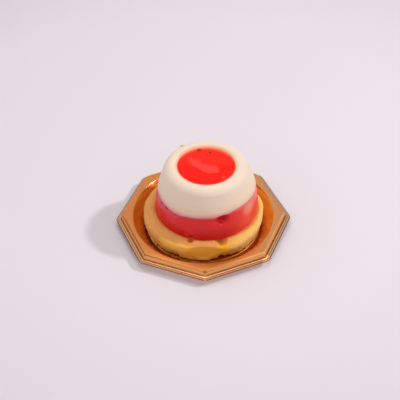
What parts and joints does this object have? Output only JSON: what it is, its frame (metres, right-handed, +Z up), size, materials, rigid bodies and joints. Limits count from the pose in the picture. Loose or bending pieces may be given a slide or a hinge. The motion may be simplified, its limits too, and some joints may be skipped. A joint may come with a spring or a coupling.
{
  "type": "strawberry cheesecake on plate",
  "caption": "Cup-shaped single-portion strawberry cheesecake in layers on an eight-sided tray with a round well.",
  "frame": {"origin": "centre of the tray on the surface that it stands on", "axes": "+Z up, -Y is the front, where one corner of the tray points and from where the picture looks"},
  "size_m": [0.0894, 0.0894, 0.0398],
  "materials": {
    "gold_tray": "thin pressed tray with a satin copper-gold metallised face",
    "sponge": "matte baked sponge with fine pores and a torn lower edge",
    "strawberry_jelly": "moist translucent strawberry jelly, deep red below and pink near the cream",
    "cheese_cream": "smooth satin set cheese cream",
    "strawberry_sauce": "glossy bright red strawberry sauce"
  },
  "bodies": {
    "root": {"tray": "gold_tray", "sponge_base": "sponge", "strawberry_layer": "strawberry_jelly", "cheese_layer": "cheese_cream", "strawberry_sauce": "strawberry_sauce"}
  },
  "joints": []
}
